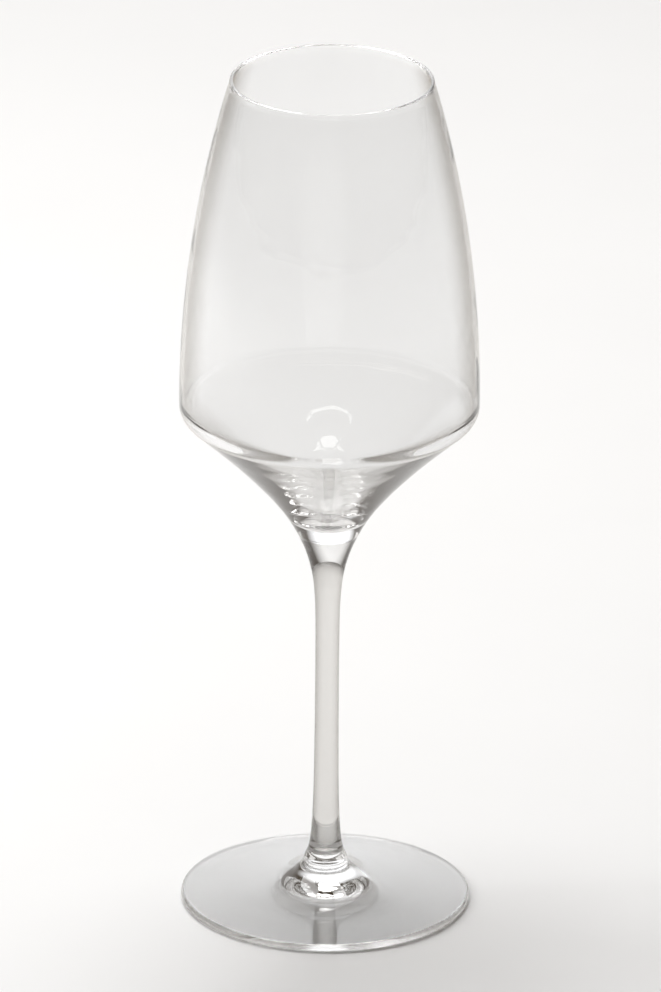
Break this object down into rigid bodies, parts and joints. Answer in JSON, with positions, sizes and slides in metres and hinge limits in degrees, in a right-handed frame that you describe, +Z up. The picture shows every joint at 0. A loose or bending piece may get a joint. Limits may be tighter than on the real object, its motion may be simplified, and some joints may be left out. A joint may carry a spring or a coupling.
{
  "type": "wine glass",
  "caption": "Stemmed wine glass with an angular tulip bowl, a slim drawn stem and a wide round foot, all in clear glass.",
  "frame": {"origin": "centre of the foot's underside, on the surface that the glass stands on", "axes": "+Z up along the glass's axis from foot to rim; the glass is round, so +X and +Y are interchangeable"},
  "size_m": [0.0792, 0.0792, 0.232],
  "materials": {
    "bowl_glass": "fire-polished, clear",
    "stem_glass": "fire-polished, clear",
    "foot_glass": "fire-polished, clear"
  },
  "bodies": {
    "root": {"bowl": "bowl_glass", "stem": "stem_glass", "foot": "foot_glass"}
  },
  "joints": []
}
